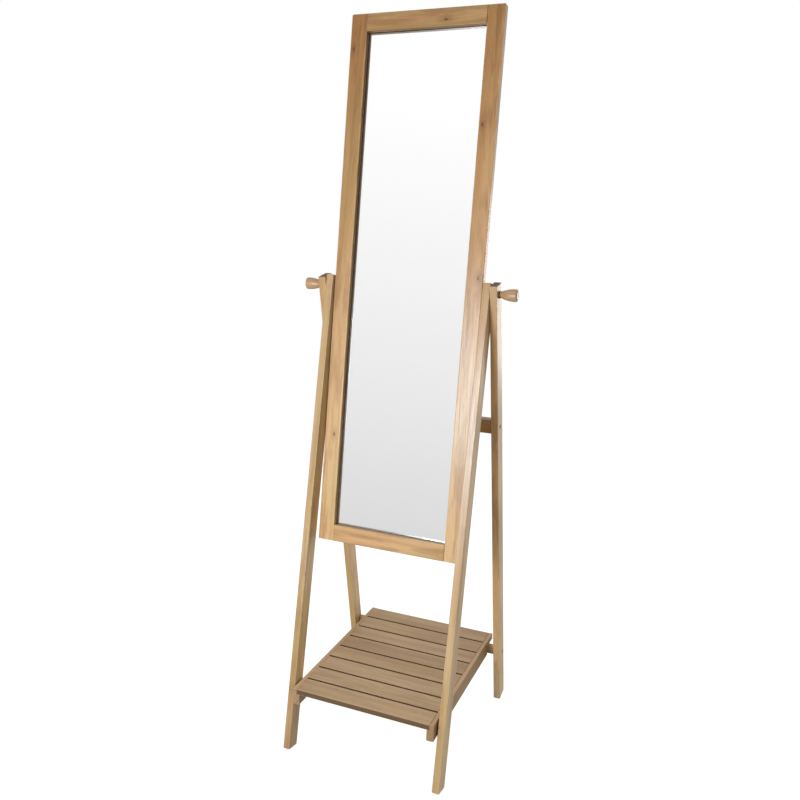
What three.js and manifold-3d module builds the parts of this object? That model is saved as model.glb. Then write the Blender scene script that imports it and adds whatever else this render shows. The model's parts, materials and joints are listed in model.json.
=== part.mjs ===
// Cheval floor mirror: a framed mirror that tilts between two A-shaped side frames, over a slatted shelf.
// Millimetres, +Z up, +Y towards the back. The origin is on the floor, under the middle of the stand.
import * as THREE from "three";
import { mergeVertices } from "three/addons/utils/BufferGeometryUtils.js";
import Module from "manifold-3d";

// Driving dimensions

const FIT_GAP = 0.3; // between pieces that touch
const OVERSHOOT = 1; // how far a cutter passes beyond the surface that it opens
const ROUND_SIDES = 24;
const SMALL_ROUND_SIDES = 16;
const FLARE_STEPS = 8;

// The pin line, and how far each leg leans from upright
const PIVOT_HEIGHT = 1031.5;
const LEG_LEAN = THREE.MathUtils.degToRad(11.05);
const MIRROR_TILT = THREE.MathUtils.degToRad(7.6);

// Mirror frame
const MIRROR_WIDTH = 338;
const MIRROR_HEIGHT = 1144;
const MIRROR_DEPTH = 19;
const FRAME_MEMBER = 37; // width of each stile and rail
const REBATE = 8; // how far the glass and panel reach behind the frame members
const GLASS_RECESS = 12; // from the frame's front face to the glass
const GLASS_THICKNESS = 3;
const PANEL_THICKNESS = 2.5;
const DOWEL_RADIUS = 4;
const DOWEL_LENGTH = 48;
const DOWEL_OFFSETS = [10.5, 23.5]; // from the frame's end to each dowel of a corner
const POINT_LENGTH = 14; // glazing points that hold the back panel in
const POINT_WIDTH = 14;
const POINT_THICKNESS = 0.8;
const POINT_BITE = 6; // how far a point is driven into the wood
const POINT_SPACING = 380;

// Stand
const LEG_WIDTH = 35;
const LEG_THICKNESS = 16;
const LEG_TOP = 21; // from the pin line to the sawn top end
const SPACER_THICKNESS = 1.6;
const UPPER_BAR_HEIGHT = 33;
const UPPER_BAR_Z = 739.5;
const BAR_THICKNESS = 16;
const LOWER_BAR_HEIGHT = 19;
const LOWER_BAR_FRONT = 176;

// Shelf
const SHELF_TOP = 156.3;
const SHELF_FRONT = -207.3;
const SLAT_COUNT = 8;
const SLAT_WIDTH = 47.8;
const SLAT_PITCH = 53.8;
const SLAT_THICKNESS = 13.3;
const SHELF_RAIL_OUTSIDE = 167; // from the middle plane
const SHELF_RAIL_THICKNESS = 16;
const SHELF_RAIL_HEIGHT = 38;
const SHELF_REBATE = 9; // rail width left beside the slats

// Pivot hardware, on an 8 mm stud with 1.25 mm thread pitch
const STUD_RADIUS = 4;
const STUD_REACH = 13; // inside the stile
const INSERT_RADIUS = 5.7;
const INSERT_DEPTH = 14;
const INSERT_HOLE_SPARE = 2; // the hole is this much deeper than the insert
const WASHER_RADIUS = 8;
const WASHER_THICKNESS = 1.6;
const KNOB_LENGTH = 37;
const KNOB_RADIUS = 13;
const KNOB_NECK_RADIUS = 6.7;
const KNOB_NECK_LENGTH = 1;
const KNOB_FLARE_LENGTH = 28;
const KNOB_CHAMFER = 2; // its length along the knob
const KNOB_END_RADIUS = 8.8;
const KNOB_SOCKET_DEPTH = 23;
const STUD_CLEARANCE = 1; // between the stud's end and the bottom of the knob's socket

// Wood screws
const SCREW_HEAD_RADIUS = 4.6;
const SCREW_HEAD_DEPTH = 3.5;
const SCREW_RADIUS = 2.3;
const SCREW_TIP = 6;
const BAR_SCREW_LENGTH = 38;
const SHELF_SCREW_LENGTH = 33;
const SCREW_SINK = 0.5; // how far a head lies below the surface
const SHELF_SCREW_Z = 133.5;

// Places worked out from the dimensions

const halfWidth = MIRROR_WIDTH / 2;
const windowHalfWidth = halfWidth - FRAME_MEMBER;
const windowHalfHeight = MIRROR_HEIGHT / 2 - FRAME_MEMBER;
const frameFront = -MIRROR_DEPTH / 2;
const glassFront = frameFront + GLASS_RECESS;
const panelFront = glassFront + GLASS_THICKNESS + FIT_GAP;
const pointFront = panelFront + PANEL_THICKNESS + FIT_GAP;
const frontLegInside = halfWidth + SPACER_THICKNESS + 2 * FIT_GAP;
const rearLegInside = frontLegInside + LEG_THICKNESS + FIT_GAP;
const rearLegOutside = rearLegInside + LEG_THICKNESS;
const knobStart = rearLegOutside + WASHER_THICKNESS + 2 * FIT_GAP;
const legBelowPin = (PIVOT_HEIGHT - (LEG_WIDTH / 2) * Math.sin(LEG_LEAN)) / Math.cos(LEG_LEAN);
const legCentreY = (z) => (PIVOT_HEIGHT - z) * Math.tan(LEG_LEAN);
const upperBarY = legCentreY(UPPER_BAR_Z);
const slatBottom = SHELF_TOP - SLAT_THICKNESS;
const railShoulder = slatBottom - FIT_GAP; // the height of the rebate's floor and of the rear notch
const lowerBarTop = railShoulder - FIT_GAP;
const lowerBarCentreY = LOWER_BAR_FRONT + BAR_THICKNESS / 2;
const lowerBarCentreZ = lowerBarTop - LOWER_BAR_HEIGHT / 2;
const shelfBack = SHELF_FRONT + (SLAT_COUNT - 1) * SLAT_PITCH + SLAT_WIDTH;
const railInside = SHELF_RAIL_OUTSIDE - SHELF_RAIL_THICKNESS;
const slatEnd = SHELF_RAIL_OUTSIDE - SHELF_REBATE;

// Solid geometry helpers

const wasm = await Module();
wasm.setup();

function toSolid(geometry) {
  const bare = geometry.clone();
  bare.deleteAttribute("normal");
  bare.deleteAttribute("uv");
  const merged = mergeVertices(bare, 1e-4);
  return new wasm.Manifold(
    new wasm.Mesh({
      numProp: 3,
      vertProperties: new Float32Array(merged.attributes.position.array),
      triVerts: new Uint32Array(merged.index.array),
    }),
  );
}

function toGeometry(solid) {
  const mesh = solid.getMesh();
  const geometry = new THREE.BufferGeometry();
  geometry.setAttribute("position", new THREE.BufferAttribute(mesh.vertProperties, 3));
  geometry.setIndex(new THREE.BufferAttribute(mesh.triVerts, 1));
  const faceted = geometry.toNonIndexed();
  faceted.computeVertexNormals();
  return faceted;
}

// A geometry with each of the cutters taken out of it
function cut(geometry, cutters) {
  return toGeometry(cutters.reduce((solid, cutter) => solid.subtract(toSolid(cutter)), toSolid(geometry)));
}

// A box given by its low and high corner
function block(low, high) {
  const size = high.map((value, axis) => value - low[axis]);
  const centre = high.map((value, axis) => (value + low[axis]) / 2);
  return new THREE.BoxGeometry(...size).translate(...centre);
}

// A piece turned about the X axis, from a list of [x, radius] that starts and ends on the axis or closes
function turned(profile, sides = ROUND_SIDES) {
  const outline = profile.map(([x, radius]) => new THREE.Vector2(radius, x));
  return new THREE.LatheGeometry(outline, sides).rotateZ(-Math.PI / 2);
}

function rod(start, end, radius, sides = ROUND_SIDES) {
  return turned([[start, 0], [start, radius], [end, radius], [end, 0]], sides);
}

function ring(start, end, innerRadius, outerRadius) {
  const corner = [start, innerRadius];
  return turned([corner, [start, outerRadius], [end, outerRadius], [end, innerRadius], corner]);
}

// A countersunk wood screw along +X with its head face at the origin; grow makes the hole that it sits in
function screw(length, grow = 0) {
  const headEnd = SCREW_HEAD_DEPTH + grow;
  const shaft = SCREW_RADIUS + grow;
  const outline = [
    [0, SCREW_HEAD_RADIUS + grow],
    [headEnd, shaft],
    [length - SCREW_TIP, shaft],
    [length + grow, 0],
  ];
  const mouth = grow > 0 ? [[-OVERSHOOT, 0], [-OVERSHOOT, SCREW_HEAD_RADIUS + grow]] : [[0, 0]];
  return turned([...mouth, ...outline], SMALL_ROUND_SIDES);
}

// Materials

function finish(color, roughness, metalness = 0) {
  return new THREE.MeshStandardMaterial({ color, roughness, metalness });
}

const FRAME_WOOD = finish(0xb58a58, 0.5);
const LEG_WOOD = finish(0xc9a878, 0.55);
const SHELF_WOOD = finish(0xa58b6c, 0.65);
const KNOB_WOOD = finish(0xc0986a, 0.5);
const DOWEL_WOOD = finish(0xd8bd92, 0.7);
const MIRROR_SILVER = finish(0xe6e8e8, 0.03, 1);
const HARDBOARD = finish(0x7a5a3c, 0.8);
const STEEL = finish(0x9a9c9e, 0.35, 1);
const DARK_STEEL = finish(0x4c4a46, 0.45, 1);
const BRASS = finish(0xb08d4a, 0.35, 1);
const BROWN_NYLON = finish(0x6a4e34, 0.6);

function piece(name, geometry, material) {
  const mesh = new THREE.Mesh(geometry, material);
  mesh.name = name;
  return mesh;
}

const SIDES = [
  { name: "left", sign: -1 },
  { name: "right", sign: 1 },
];
const ENDS = [
  { name: "bottom", sign: -1 },
  { name: "top", sign: 1 },
];

// Mirror, built upright about the pin line: local +Z runs up the frame and local -Y faces the viewer

function dowelHeights(end) {
  return DOWEL_OFFSETS.map((offset) => end.sign * (MIRROR_HEIGHT / 2 - offset));
}

// Dowels cross the joint between a stile and a rail at x = windowHalfWidth
function dowel(height, grow = 0) {
  const reach = DOWEL_LENGTH / 2 + grow;
  const across = rod(windowHalfWidth - reach, windowHalfWidth + reach, DOWEL_RADIUS + grow, SMALL_ROUND_SIDES);
  return across.translate(0, 0, height);
}

// A flat steel point over the back panel, half driven into the wood beyond the rebate's wall at x = wall
function glazingPoint(wall, height, grow = 0) {
  const inner = wall - (POINT_LENGTH - POINT_BITE);
  const low = [inner - grow, pointFront - grow, height - POINT_WIDTH / 2 - grow];
  const high = [
    wall + POINT_BITE + grow,
    pointFront + POINT_THICKNESS + grow,
    height + POINT_WIDTH / 2 + grow,
  ];
  return block(low, high);
}

const stileWall = windowHalfWidth + REBATE;
const railWall = windowHalfHeight + REBATE;
const POINT_HEIGHTS = [-POINT_SPACING, 0, POINT_SPACING];
const rebateBack = -frameFront + OVERSHOOT;

function stileGeometry() {
  const blank = block(
    [windowHalfWidth, frameFront, -MIRROR_HEIGHT / 2],
    [halfWidth, -frameFront, MIRROR_HEIGHT / 2],
  );
  const rebate = block(
    [windowHalfWidth - OVERSHOOT, glassFront - FIT_GAP, -railWall],
    [stileWall, rebateBack, railWall],
  );
  const insertEnd = halfWidth - INSERT_DEPTH - INSERT_HOLE_SPARE;
  const insertHole = rod(insertEnd, halfWidth + OVERSHOOT, INSERT_RADIUS + FIT_GAP);
  const dowelHoles = ENDS.flatMap((end) => dowelHeights(end).map((height) => dowel(height, FIT_GAP)));
  const slits = POINT_HEIGHTS.map((height) => glazingPoint(stileWall, height, FIT_GAP));
  return cut(blank, [rebate, insertHole, ...dowelHoles, ...slits]);
}

// The rail at the top of the frame; the bottom rail is the same piece turned over
function railGeometry() {
  const end = windowHalfWidth - FIT_GAP;
  const blank = block([-end, frameFront, windowHalfHeight], [end, -frameFront, MIRROR_HEIGHT / 2]);
  const rebate = block(
    [-halfWidth, glassFront - FIT_GAP, windowHalfHeight - OVERSHOOT],
    [halfWidth, rebateBack, railWall],
  );
  const holes = dowelHeights(ENDS[1]).flatMap((height) => {
    const right = dowel(height, FIT_GAP);
    return [right, right.clone().rotateZ(Math.PI)];
  });
  const slit = glazingPoint(railWall, 0, FIT_GAP).rotateY(-Math.PI / 2);
  return cut(blank, [rebate, slit, ...holes]);
}

function backedSheet(front, thickness) {
  const x = stileWall - 2 * FIT_GAP;
  const z = railWall - 2 * FIT_GAP;
  return block([-x, front, -z], [x, front + thickness, z]);
}

function mirrorAssembly() {
  const mirror = new THREE.Group();
  const stile = stileGeometry();
  const rail = railGeometry();
  mirror.add(piece("mirror_glass", backedSheet(glassFront, GLASS_THICKNESS), MIRROR_SILVER));
  mirror.add(piece("back_panel", backedSheet(panelFront, PANEL_THICKNESS), HARDBOARD));
  for (const end of ENDS) {
    const railMesh = piece(`${end.name}_rail`, rail, FRAME_WOOD);
    railMesh.scale.z = end.sign;
    const point = piece(
      `glazing_point_${end.name}`,
      glazingPoint(railWall, 0).rotateY(-Math.PI / 2),
      STEEL,
    );
    point.scale.z = end.sign;
    mirror.add(railMesh, point);
  }
  for (const side of SIDES) {
    const half = new THREE.Group();
    half.scale.x = side.sign;
    half.add(piece(`${side.name}_stile`, stile, FRAME_WOOD));
    for (const end of ENDS) {
      dowelHeights(end).forEach((height, index) => {
        half.add(piece(`dowel_${end.name}_${side.name}_${index + 1}`, dowel(height), DOWEL_WOOD));
      });
    }
    POINT_HEIGHTS.forEach((height, index) => {
      const name = `glazing_point_${side.name}_${index + 1}`;
      half.add(piece(name, glazingPoint(stileWall, height), STEEL));
    });
    half.add(piece(`${side.name}_threaded_insert`, insertGeometry(), BRASS));
    mirror.add(half);
  }
  return mirror;
}

// Pivot hardware, all turned about the pin line

function insertGeometry() {
  return ring(halfWidth - INSERT_DEPTH, halfWidth - FIT_GAP, STUD_RADIUS + FIT_GAP, INSERT_RADIUS);
}

// A wooden knob that flares from a slim neck almost to its end, where it has a low chamfer
function knobGeometry() {
  const rise = KNOB_RADIUS - KNOB_NECK_RADIUS;
  const along = (share) => KNOB_NECK_LENGTH + share * KNOB_FLARE_LENGTH;
  const flare = new THREE.CubicBezierCurve(
    new THREE.Vector2(along(0), KNOB_NECK_RADIUS),
    new THREE.Vector2(along(0.25), KNOB_NECK_RADIUS + 0.37 * rise),
    new THREE.Vector2(along(0.46), KNOB_NECK_RADIUS + 0.87 * rise),
    new THREE.Vector2(along(1), KNOB_RADIUS),
  );
  const grip = flare.getPoints(FLARE_STEPS).map((point) => [point.x, point.y]);
  const outline = [
    [0, STUD_RADIUS + FIT_GAP],
    [0, KNOB_NECK_RADIUS],
    ...grip,
    [KNOB_LENGTH - KNOB_CHAMFER, KNOB_RADIUS],
    [KNOB_LENGTH, KNOB_END_RADIUS],
    [KNOB_LENGTH, 0],
    [KNOB_SOCKET_DEPTH, 0],
    [KNOB_SOCKET_DEPTH, STUD_RADIUS + FIT_GAP],
    [0, STUD_RADIUS + FIT_GAP],
  ];
  return turned(outline.map(([x, radius]) => [knobStart + x, radius]));
}

function pivotHardware() {
  const hardware = new THREE.Group();
  const hole = STUD_RADIUS + FIT_GAP;
  for (const side of SIDES) {
    const half = new THREE.Group();
    half.scale.x = side.sign;
    const spacerStart = halfWidth + FIT_GAP;
    const washerStart = rearLegOutside + FIT_GAP;
    const studEnd = knobStart + KNOB_SOCKET_DEPTH - STUD_CLEARANCE;
    half.add(
      piece(`${side.name}_knob`, knobGeometry(), KNOB_WOOD),
      piece(`${side.name}_pivot_stud`, rod(halfWidth - STUD_REACH, studEnd, STUD_RADIUS), STEEL),
      piece(
        `${side.name}_pivot_washer`,
        ring(washerStart, washerStart + WASHER_THICKNESS, hole, WASHER_RADIUS),
        BROWN_NYLON,
      ),
      piece(
        `${side.name}_pivot_spacer`,
        ring(spacerStart, spacerStart + SPACER_THICKNESS, hole, WASHER_RADIUS),
        BROWN_NYLON,
      ),
    );
    hardware.add(half);
  }
  return hardware;
}

// Screws of the stand, each as a geometry in the stand's own frame for the right-hand side

function barScrew(y, z, grow = 0) {
  const head = rearLegOutside - SCREW_SINK;
  return screw(BAR_SCREW_LENGTH, grow).rotateZ(Math.PI).translate(head, y, z);
}

const upperBarScrew = (grow) => barScrew(upperBarY, UPPER_BAR_Z, grow);
const lowerBarScrew = (grow) => barScrew(lowerBarCentreY, lowerBarCentreZ, grow);

// From inside the shelf rail, out through the spacer and into the front leg
function shelfFrontScrew(grow = 0) {
  const y = -legCentreY(SHELF_SCREW_Z);
  return screw(SHELF_SCREW_LENGTH, grow).translate(railInside + SCREW_SINK, y, SHELF_SCREW_Z);
}

// From behind, through the lower crossbar and into the end of the shelf rail
function shelfRearScrew(grow = 0) {
  const back = LOWER_BAR_FRONT + BAR_THICKNESS - SCREW_SINK;
  const x = railInside + SHELF_RAIL_THICKNESS / 2;
  return screw(SHELF_SCREW_LENGTH, grow).rotateZ(-Math.PI / 2).translate(x, back, SHELF_SCREW_Z);
}

// Stand

// A leg about the pin line, standing upright; lean turns it and the holes of the stand's screws fit it
function legGeometry(inside, lean, screwHoles) {
  const outside = inside + LEG_THICKNESS;
  const blank = block(
    [inside, -LEG_WIDTH / 2, -legBelowPin],
    [outside, LEG_WIDTH / 2, LEG_TOP],
  );
  const pinHole = rod(inside - OVERSHOOT, outside + OVERSHOOT, STUD_RADIUS + FIT_GAP);
  const localHoles = screwHoles.map((hole) => hole.translate(0, 0, -PIVOT_HEIGHT).rotateX(-lean));
  return cut(blank, [pinHole, ...localHoles]);
}

function leg(name, geometry, lean) {
  const mesh = piece(name, geometry, LEG_WOOD);
  mesh.position.z = PIVOT_HEIGHT;
  mesh.rotation.x = lean;
  return mesh;
}

// The upper crossbar leans with the rear legs, and each end takes one screw
function upperBarGeometry() {
  const end = rearLegInside - FIT_GAP;
  const blank = block(
    [-end, -BAR_THICKNESS / 2, -UPPER_BAR_HEIGHT / 2],
    [end, BAR_THICKNESS / 2, UPPER_BAR_HEIGHT / 2],
  );
  const right = upperBarScrew(FIT_GAP).translate(0, -upperBarY, -UPPER_BAR_Z);
  return cut(blank, [right, right.clone().rotateZ(Math.PI)]);
}

// The lower crossbar is upright, tucked in the notches of the shelf rails
function lowerBarGeometry() {
  const end = rearLegInside - FIT_GAP;
  const blank = block(
    [-end, LOWER_BAR_FRONT, lowerBarTop - LOWER_BAR_HEIGHT],
    [end, LOWER_BAR_FRONT + BAR_THICKNESS, lowerBarTop],
  );
  const right = [lowerBarScrew(FIT_GAP), shelfRearScrew(FIT_GAP)];
  const left = right.map(mirrored);
  return cut(blank, [...right, ...left]);
}

// The same cutter on the other side of the middle plane, with its faces turned out again
function mirrored(geometry) {
  const flipped = geometry.clone().scale(-1, 1, 1);
  const index = flipped.index.array;
  for (let i = 0; i < index.length; i += 3) {
    [index[i + 1], index[i + 2]] = [index[i + 2], index[i + 1]];
  }
  return flipped;
}

// A shelf rail: rebated on its inner top edge for the slats and notched behind for the lower crossbar
function shelfRailGeometry() {
  const blank = block(
    [railInside, SHELF_FRONT, SHELF_TOP - SHELF_RAIL_HEIGHT],
    [SHELF_RAIL_OUTSIDE, shelfBack, SHELF_TOP],
  );
  const rebate = block(
    [railInside - OVERSHOOT, SHELF_FRONT - OVERSHOOT, railShoulder],
    [slatEnd, shelfBack + OVERSHOOT, SHELF_TOP + OVERSHOOT],
  );
  const notch = block(
    [railInside - OVERSHOOT, LOWER_BAR_FRONT - FIT_GAP, 0],
    [SHELF_RAIL_OUTSIDE + OVERSHOOT, shelfBack + OVERSHOOT, railShoulder],
  );
  return cut(blank, [rebate, notch, shelfFrontScrew(FIT_GAP), shelfRearScrew(FIT_GAP)]);
}

function shelfSlat(index) {
  const front = SHELF_FRONT + index * SLAT_PITCH;
  const x = slatEnd - FIT_GAP;
  const geometry = block([-x, front, slatBottom], [x, front + SLAT_WIDTH, SHELF_TOP]);
  return piece(`shelf_slat_${index + 1}`, geometry, SHELF_WOOD);
}

function shelfSpacerGeometry() {
  const start = SHELF_RAIL_OUTSIDE + FIT_GAP;
  const end = frontLegInside - FIT_GAP;
  const flat = ring(start, end, SCREW_RADIUS + FIT_GAP, WASHER_RADIUS);
  return flat.translate(0, -legCentreY(SHELF_SCREW_Z), SHELF_SCREW_Z);
}

function standAssembly() {
  const stand = new THREE.Group();
  const upperBar = piece("upper_crossbar", upperBarGeometry(), LEG_WOOD);
  upperBar.position.set(0, upperBarY, UPPER_BAR_Z);
  upperBar.rotation.x = LEG_LEAN;
  stand.add(upperBar, piece("lower_crossbar", lowerBarGeometry(), LEG_WOOD));
  const frontLeg = legGeometry(frontLegInside, -LEG_LEAN, [shelfFrontScrew(FIT_GAP)]);
  const rearHoles = [upperBarScrew(FIT_GAP), lowerBarScrew(FIT_GAP)];
  const rearLeg = legGeometry(rearLegInside, LEG_LEAN, rearHoles);
  const rail = shelfRailGeometry();
  for (const side of SIDES) {
    const half = new THREE.Group();
    half.scale.x = side.sign;
    half.add(
      leg(`front_${side.name}_leg`, frontLeg, -LEG_LEAN),
      leg(`rear_${side.name}_leg`, rearLeg, LEG_LEAN),
      piece(`upper_crossbar_screw_${side.name}`, upperBarScrew(), DARK_STEEL),
      piece(`lower_crossbar_screw_${side.name}`, lowerBarScrew(), DARK_STEEL),
      piece(`shelf_rail_${side.name}`, rail, SHELF_WOOD),
      piece(`shelf_front_screw_${side.name}`, shelfFrontScrew(), DARK_STEEL),
      piece(`shelf_rear_screw_${side.name}`, shelfRearScrew(), DARK_STEEL),
      piece(`shelf_spacer_${side.name}`, shelfSpacerGeometry(), BROWN_NYLON),
    );
    stand.add(half);
  }
  for (let index = 0; index < SLAT_COUNT; index += 1) stand.add(shelfSlat(index));
  return stand;
}

// The whole object

const mirror = mirrorAssembly();
mirror.position.z = PIVOT_HEIGHT;
mirror.rotation.x = -MIRROR_TILT;

const hardware = pivotHardware();
hardware.position.z = PIVOT_HEIGHT;

const floorMirror = new THREE.Group();
floorMirror.add(standAssembly(), mirror, hardware);

export default floorMirror;
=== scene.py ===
"""The looks of a cheval floor mirror: lacquered wood, silvered glass and small metal parts."""
import json
import math

import bmesh
import bpy
from mathutils import Matrix, Vector

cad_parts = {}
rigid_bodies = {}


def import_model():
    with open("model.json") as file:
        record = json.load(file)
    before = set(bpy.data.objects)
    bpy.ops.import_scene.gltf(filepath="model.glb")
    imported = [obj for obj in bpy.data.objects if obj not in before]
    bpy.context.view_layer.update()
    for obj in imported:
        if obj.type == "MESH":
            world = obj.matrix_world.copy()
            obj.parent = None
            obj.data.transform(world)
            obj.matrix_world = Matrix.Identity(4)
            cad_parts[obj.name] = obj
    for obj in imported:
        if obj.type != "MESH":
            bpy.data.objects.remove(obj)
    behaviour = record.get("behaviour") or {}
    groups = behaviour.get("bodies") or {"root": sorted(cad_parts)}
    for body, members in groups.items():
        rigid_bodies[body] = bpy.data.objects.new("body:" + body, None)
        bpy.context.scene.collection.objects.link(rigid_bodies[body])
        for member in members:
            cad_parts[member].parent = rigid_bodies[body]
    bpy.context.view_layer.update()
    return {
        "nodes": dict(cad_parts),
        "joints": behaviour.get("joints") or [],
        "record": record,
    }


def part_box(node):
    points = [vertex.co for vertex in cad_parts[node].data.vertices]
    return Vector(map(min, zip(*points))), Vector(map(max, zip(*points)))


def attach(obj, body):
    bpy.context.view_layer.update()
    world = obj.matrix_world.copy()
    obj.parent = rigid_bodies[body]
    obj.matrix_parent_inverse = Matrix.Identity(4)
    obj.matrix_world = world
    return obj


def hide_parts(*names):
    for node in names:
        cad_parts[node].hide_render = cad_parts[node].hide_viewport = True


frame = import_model()
JOINTS = {joint["name"]: joint for joint in frame["joints"]}
PIVOT = Vector(JOINTS["mirror_tilt"]["pos_m"])
SIDES = {"left": -1, "right": 1}
SLATS = sorted(node for node in frame["nodes"] if node.startswith("shelf_slat_"))
SHELF_FRONT = min(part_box(slat)[0].y for slat in SLATS)
MM = 0.001
X = Vector((1, 0, 0))
Y = Vector((0, 1, 0))
Z = Vector((0, 0, 1))
STRAIGHT = Matrix.Identity(4)
TOUCH = 1e-5  # two places closer than this are the same

# Driving dimensions, in metres and radians
LEG_LEAN = math.radians(11.05)
MIRROR_TILT = math.radians(7.6)
FRAME_MEMBER = 37 * MM
FRAME_ROUNDING = 2.6 * MM
OPENING_ROUNDING = 1.5 * MM
LEG_ROUNDING = 2.2 * MM
SLAT_ROUNDING = 1.4 * MM
RAIL_ROUNDING = 1.2 * MM
SAWN_END_ROUNDING = 0.7 * MM
SHORTEST_ROUNDED_EDGE = 12 * MM  # of the mirror frame's outline
GLASS_EASE = 0.5 * MM
STUD_HOLE_RADIUS = 4.3 * MM
SCREW_HOLE_RADIUS = 2.6 * MM
RING_EASE = 0.25 * MM
THREAD_PITCH = 1.25 * MM
THREAD_DEPTH = 0.65 * MM
KNOB_NECK_RADIUS = 6.6 * MM
KNOB_FLARE = 29 * MM  # from the inner end to the widest place
KNOB_SOCKET = 23 * MM
SCREW_HEAD = ((0, 0), (0, 4.2 * MM), (0.15 * MM, 4.5 * MM), (0.5 * MM, 4.55 * MM), (3.4 * MM, 2.1 * MM))
SCREW_SHANK_RADIUS = 2.0 * MM
SCREW_CREST_RADIUS = 2.28 * MM
SCREW_ROOT_RADIUS = 1.6 * MM
SCREW_PITCH = 2.0 * MM
SCREW_TIP = 5 * MM
STAGE_RADIUS = 4.0
SHELL_RADIUS = 12.0

# Camera, in metres, radians and millimetres of lens
CAMERA_PLACE = (0.66719, -1.63714, 1.19259)
CAMERA_YAW = 0.39283
CAMERA_PITCH = 0.22475
CAMERA_ROLL = 0.02283
CAMERA_LENS = 37.095


def srgb(text):
    """A colour such as "c9a878" as linear red, green, blue and 1."""
    values = [int(text[i : i + 2], 16) / 255 for i in (0, 2, 4)]
    linear = [v / 12.92 if v <= 0.04045 else ((v + 0.055) / 1.055) ** 2.4 for v in values]
    return (*linear, 1.0)

# How each member of the mirror frame lies in its tree: the grain's direction, its place, its twist and
# the share of heartwood at its low and high end. This share is partly painted shade: it makes the frame
# darker towards its top.
FRAME_MEMBERS = {
    "left_stile": (Z, (0.058, 0.016, 30.0), (0.014, -0.020), (0.02, 1.02)),
    "right_stile": (Z, (-0.071, 0.026, 33.1), (-0.011, 0.024), (0.05, 0.98)),
    "top_rail": (X, (0.034, 0.052, 36.2), (0.016, 0.020), (0.62, 0.66)),
    "bottom_rail": (X, (0.060, -0.036, 39.4), (-0.015, 0.014), (0.35, 0.30)),
}
FRAME_TINT = 1.0
FRAME_FRONT = -9.5 * MM  # the frame's front face, from the tilting axis


def grain_turn(along, trunk, twist):
    """From a piece's own frame to the tree that it was cut from, whose pith is the z axis."""
    side = X if abs(along.dot(X)) < 0.5 else Y
    turn = Matrix((side, along.cross(side).normalized(), along)).to_4x4()
    turn = Matrix.Rotation(twist[0], 4, "X") @ Matrix.Rotation(twist[1], 4, "Y") @ turn
    return Matrix.Translation(trunk) @ turn


def frame_knot(member, x, z):
    """A place on the front face of a member of the mirror frame, from its middle, in the member's tree."""
    along, trunk, twist, _ = FRAME_MEMBERS[member]
    return grain_turn(along, trunk, twist) @ Vector((x, FRAME_FRONT, z))


FRAME_KNOTS = [
    frame_knot("right_stile", 0.140, 0.338),
    frame_knot("right_stile", 0.158, 0.03),
    frame_knot("left_stile", -0.160, 0.50),
    frame_knot("left_stile", -0.146, -0.33),
    frame_knot("top_rail", 0.045, 0.548),
]

# ---------------------------------------------------------------- materials


class Nodes:
    """The node tree of a new material or world, with short calls that add a node, set it and link it."""

    def __init__(self, owner):
        owner.use_nodes = True
        self.owner = owner
        self.tree = owner.node_tree

    def own(self, kind):
        """A node that the tree came with, such as its output."""
        return next(node for node in self.tree.nodes if node.type == kind)

    def plug(self, value, socket):
        if isinstance(value, bpy.types.NodeSocket):
            self.tree.links.new(value, socket)
        elif value is not None:
            socket.default_value = value

    def add(self, kind, inputs=(), **settings):
        node = self.tree.nodes.new("ShaderNode" + kind)
        for key, value in settings.items():
            setattr(node, key, value)
        for key, value in dict(inputs).items():
            self.plug(value, node.inputs[key])
        return node

    def attribute(self, name, output="Fac"):
        return self.add("Attribute", attribute_name=name).outputs[output]

    def math(self, operation, *values, clamp=False):
        node = self.add("Math", operation=operation, use_clamp=clamp)
        for value, socket in zip(values, node.inputs):
            self.plug(value, socket)
        return node.outputs[0]

    def scaled(self, vector, scale, shift=(0, 0, 0)):
        node = self.add("Mapping", {"Vector": vector, "Scale": scale, "Location": shift})
        return node.outputs[0]

    def noise(self, vector, scale=1.0, detail=3.0, roughness=0.5):
        inputs = {"Vector": vector, "Scale": scale, "Detail": detail, "Roughness": roughness}
        return self.add("TexNoise", inputs).outputs["Fac"]

    def remap(self, value, low, high, to_low=0.0, to_high=1.0, smooth=True):
        """Takes low to to_low and high to to_high, and holds the value beyond them."""
        inputs = {"Value": value, "From Min": low, "From Max": high, "To Min": to_low, "To Max": to_high}
        kind = "SMOOTHSTEP" if smooth else "LINEAR"
        return self.add("MapRange", inputs, interpolation_type=kind).outputs[0]

    def mix(self, share, one, two, kind="MIX"):
        node = self.add("Mix", data_type="RGBA", blend_type=kind)
        self.plug(share, node.inputs[0])
        self.plug(one, node.inputs[6])
        self.plug(two, node.inputs[7])
        return node.outputs[2]

    def bump(self, height, distance, strength):
        inputs = {"Height": height, "Distance": distance, "Strength": strength}
        return self.add("Bump", inputs).outputs[0]

    def finish(self, **inputs):
        """Sets the principled shader's inputs and gives the material."""
        shader = self.own("BSDF_PRINCIPLED")
        for key, value in inputs.items():
            self.plug(value, shader.inputs[key.replace("_", " ").title().replace("Ior", "IOR")])
        return self.owner


def new_material(name):
    """The nodes of a new material."""
    return Nodes(bpy.data.materials.new(name))


RING_SPACING = 2.6 * MM  # from one growth ring to the next
KNOT_ALONG = 0.45  # how much a distance along the grain counts, so that knots are long that way
PIN_KNOT_ALONG = 0.5


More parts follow.
